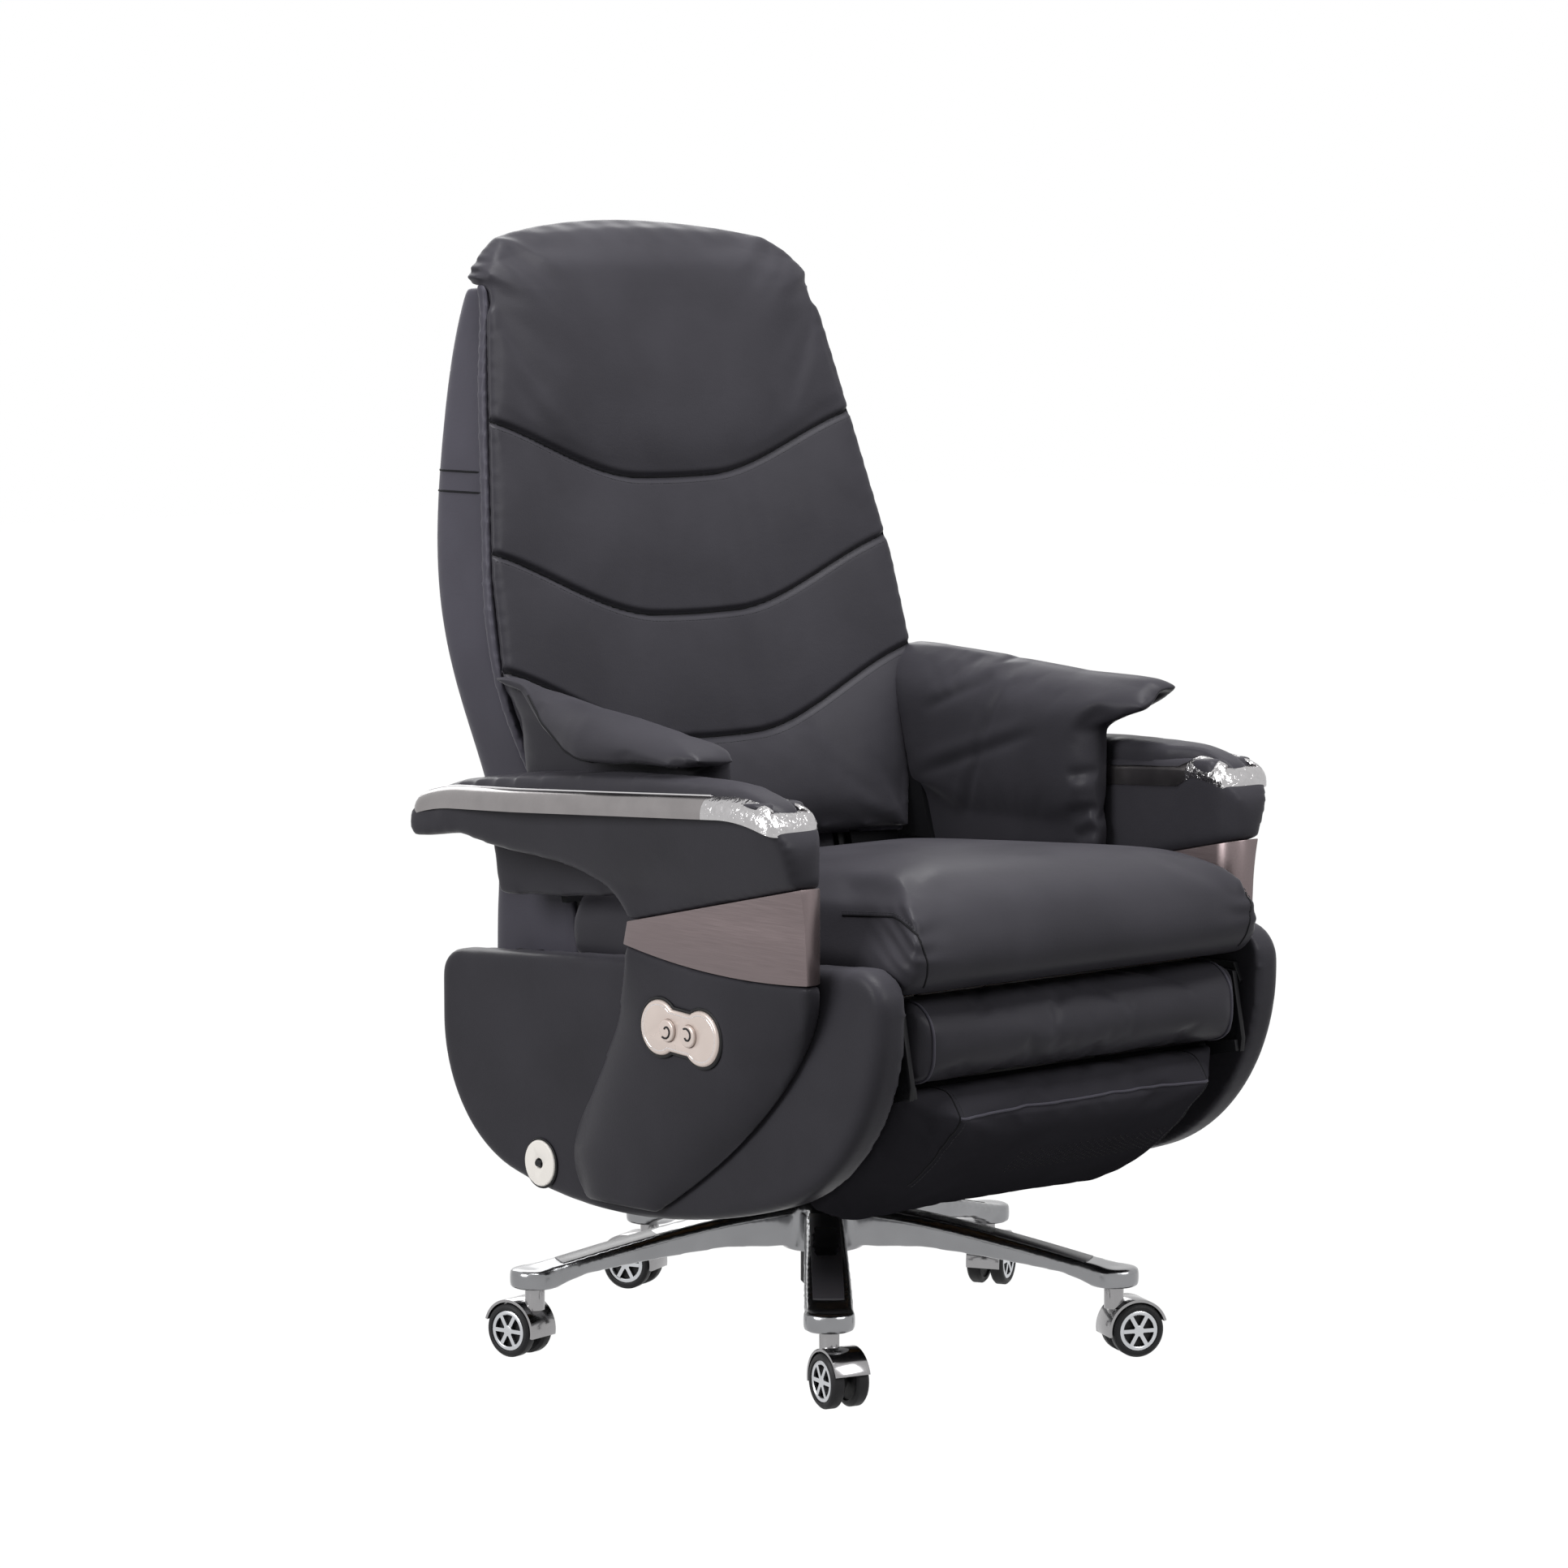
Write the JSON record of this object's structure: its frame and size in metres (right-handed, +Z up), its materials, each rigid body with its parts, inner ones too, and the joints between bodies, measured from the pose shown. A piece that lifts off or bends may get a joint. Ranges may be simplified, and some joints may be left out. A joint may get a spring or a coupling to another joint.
{
  "type": "reclining office chair",
  "caption": "Padded leather executive chair with reclining back, fold-out footrest with calf pad, wing pads, metal-banded armrests, two-button power switch and a castered star base",
  "frame": {"origin": "on the floor under the swivel axis, which is the middle of the overall box", "axes": "+X is the sitter's left, +Y is the chair's rear, +Z is up"},
  "size_m": [0.7667, 0.8559, 1.262],
  "materials": {
    "leather_charcoal": "soft grain, slightly violet charcoal",
    "plywood": "moulded plywood",
    "steel_black": "powder coated black",
    "aluminium_polished": "polished die casting",
    "inlay_black": "gloss black strip",
    "chrome_bright": "bright chrome",
    "tyre_black": "black polyurethane tread",
    "wheel_silver": "satin silver spokes",
    "band_metal": "rose-grey brushed band",
    "switch_champagne": "champagne metallic plastic",
    "socket_white": "off-white moulding",
    "plastic_black": "black moulding"
  },
  "bodies": {
    "base": {"star_base": "aluminium_polished", "base_inlays": "inlay_black", "gas_cylinder": "steel_black"},
    "lift": {"gas_piston": "chrome_bright"},
    "seat": {"seat_plate": "steel_black", "front_beam": "steel_black", "rear_beam": "steel_black", "side_rail_left": "steel_black", "side_rail_right": "steel_black", "seat_board": "plywood", "seat_cushion": "leather_charcoal", "side_panel_left": "leather_charcoal", "side_panel_right": "leather_charcoal", "arm_leg_left": "leather_charcoal", "arm_leg_right": "leather_charcoal", "arm_band_left": "band_metal", "arm_band_right": "band_metal", "arm_shell_left": "leather_charcoal", "arm_shell_right": "leather_charcoal", "arm_trim_left": "chrome_bright", "arm_trim_right": "chrome_bright", "arm_pad_left": "leather_charcoal", "arm_pad_right": "leather_charcoal", "switch_bezel": "switch_champagne", "power_socket": "socket_white", "control_box": "plastic_black"},
    "lever": {"lift_lever": "plastic_black"},
    "recline_switch": {"recline_button": "switch_champagne"},
    "return_switch": {"return_button": "switch_champagne"},
    "back": {"back_frame": "steel_black", "back_board": "plywood", "back_cushion": "leather_charcoal", "back_shell": "leather_charcoal", "wing_pad_left": "leather_charcoal", "wing_pad_right": "leather_charcoal"},
    "footrest": {"footrest_frame": "steel_black", "footrest_pad": "leather_charcoal"},
    "calf": {"calf_frame": "steel_black", "calf_pad": "leather_charcoal"},
    "actuator": {"actuator_body": "plastic_black"},
    "rod": {"actuator_rod": "chrome_bright"},
    "caster_1": {"caster_1_fork": "chrome_bright"},
    "wheels_1": {"caster_1_tyres": "tyre_black", "caster_1_rims": "wheel_silver"},
    "caster_2": {"caster_2_fork": "chrome_bright"},
    "wheels_2": {"caster_2_tyres": "tyre_black", "caster_2_rims": "wheel_silver"},
    "caster_3": {"caster_3_fork": "chrome_bright"},
    "wheels_3": {"caster_3_tyres": "tyre_black", "caster_3_rims": "wheel_silver"},
    "caster_4": {"caster_4_fork": "chrome_bright"},
    "wheels_4": {"caster_4_tyres": "tyre_black", "caster_4_rims": "wheel_silver"},
    "caster_5": {"caster_5_fork": "chrome_bright"},
    "wheels_5": {"caster_5_tyres": "tyre_black", "caster_5_rims": "wheel_silver"}
  },
  "joints": [
    {"name": "gas_lift", "type": "slide", "parent": "base", "child": "lift", "axis": [0, 0, 1], "range_m": [0, 0.06]},
    {"name": "seat_swivel", "type": "hinge", "parent": "lift", "child": "seat", "pos_m": [0, 0, 0.2], "axis": [0, 0, 1], "continuous": true},
    {"name": "height_lever", "type": "hinge", "parent": "seat", "child": "lever", "pos_m": [0.2, 0.055, 0.168], "axis": [-1, 0, 0], "range_deg": [0, 15], "stiffness_Nm_per_rad": 0.5, "springref_deg": -11.46},
    {"name": "recline_press", "type": "slide", "parent": "seat", "child": "recline_switch", "axis": [1, 0, 0], "range_m": [0, 0.0025], "stiffness_N_per_m": 600},
    {"name": "return_press", "type": "slide", "parent": "seat", "child": "return_switch", "axis": [1, 0, 0], "range_m": [0, 0.0025], "stiffness_N_per_m": 600},
    {"name": "recline", "type": "hinge", "parent": "seat", "child": "back", "pos_m": [0, 0.215, 0.43], "axis": [-1, 0, 0], "range_deg": [0, 36]},
    {"name": "footrest_lift", "type": "hinge", "parent": "seat", "child": "footrest", "pos_m": [0, -0.392, 0.431], "axis": [-1, 0, 0], "range_deg": [0, 79.4]},
    {"name": "calf_fold", "type": "hinge", "parent": "footrest", "child": "calf", "pos_m": [0, -0.408, 0.358], "axis": [-1, 0, 0], "range_deg": [0, 54.2]},
    {"name": "actuator_swing", "type": "hinge", "parent": "seat", "child": "actuator", "pos_m": [0, 0.06, 0.302], "axis": [1, 0, 0], "range_deg": [0, 4.29]},
    {"name": "actuator_stroke", "type": "slide", "parent": "actuator", "child": "rod", "axis": [0, -0.984, 0.1784], "range_m": [0, 0.10862]},
    {"name": "caster_1_swivel", "type": "hinge", "parent": "base", "child": "caster_1", "pos_m": [-0.22216, -0.25738, 0.088], "axis": [0, 0, 1], "continuous": true},
    {"name": "caster_1_roll", "type": "hinge", "parent": "caster_1", "child": "wheels_1", "pos_m": [-0.22748, -0.27873, 0.03], "axis": [-0.9703, 0.2419, 0], "continuous": true},
    {"name": "caster_2_swivel", "type": "hinge", "parent": "base", "child": "caster_2", "pos_m": [0.17613, -0.29082, 0.088], "axis": [0, 0, 1], "continuous": true},
    {"name": "caster_2_roll", "type": "hinge", "parent": "caster_2", "child": "wheels_2", "pos_m": [0.19638, -0.29942, 0.03], "axis": [-0.3907, -0.9205, 0], "continuous": true},
    {"name": "caster_3_swivel", "type": "hinge", "parent": "base", "child": "caster_3", "pos_m": [0.33102, 0.07764, 0.088], "axis": [0, 0, 1], "continuous": true},
    {"name": "caster_3_roll", "type": "hinge", "parent": "caster_3", "child": "wheels_3", "pos_m": [0.35044, 0.08797, 0.03], "axis": [0.4695, -0.8829, 0], "continuous": true},
    {"name": "caster_4_swivel", "type": "hinge", "parent": "base", "child": "caster_4", "pos_m": [0.02845, 0.33881, 0.088], "axis": [0, 0, 1], "continuous": true},
    {"name": "caster_4_roll", "type": "hinge", "parent": "caster_4", "child": "wheels_4", "pos_m": [0.01985, 0.35906, 0.03], "axis": [0.9205, 0.3907, 0], "continuous": true},
    {"name": "caster_5_swivel", "type": "hinge", "parent": "base", "child": "caster_5", "pos_m": [-0.31343, 0.13176, 0.088], "axis": [0, 0, 1], "continuous": true},
    {"name": "caster_5_roll", "type": "hinge", "parent": "caster_5", "child": "wheels_5", "pos_m": [-0.31763, 0.15335, 0.03], "axis": [0.9816, 0.1908, 0], "continuous": true}
  ],
  "couplings": [
    {"joint": "footrest_lift", "follows": "recline", "ratio": 2.2},
    {"joint": "calf_fold", "follows": "recline", "ratio": 1.5},
    {"joint": "actuator_swing", "follows": "recline", "ratio": 0.11628},
    {"joint": "actuator_stroke", "follows": "recline", "m_per_rad": 0.17208}
  ]
}
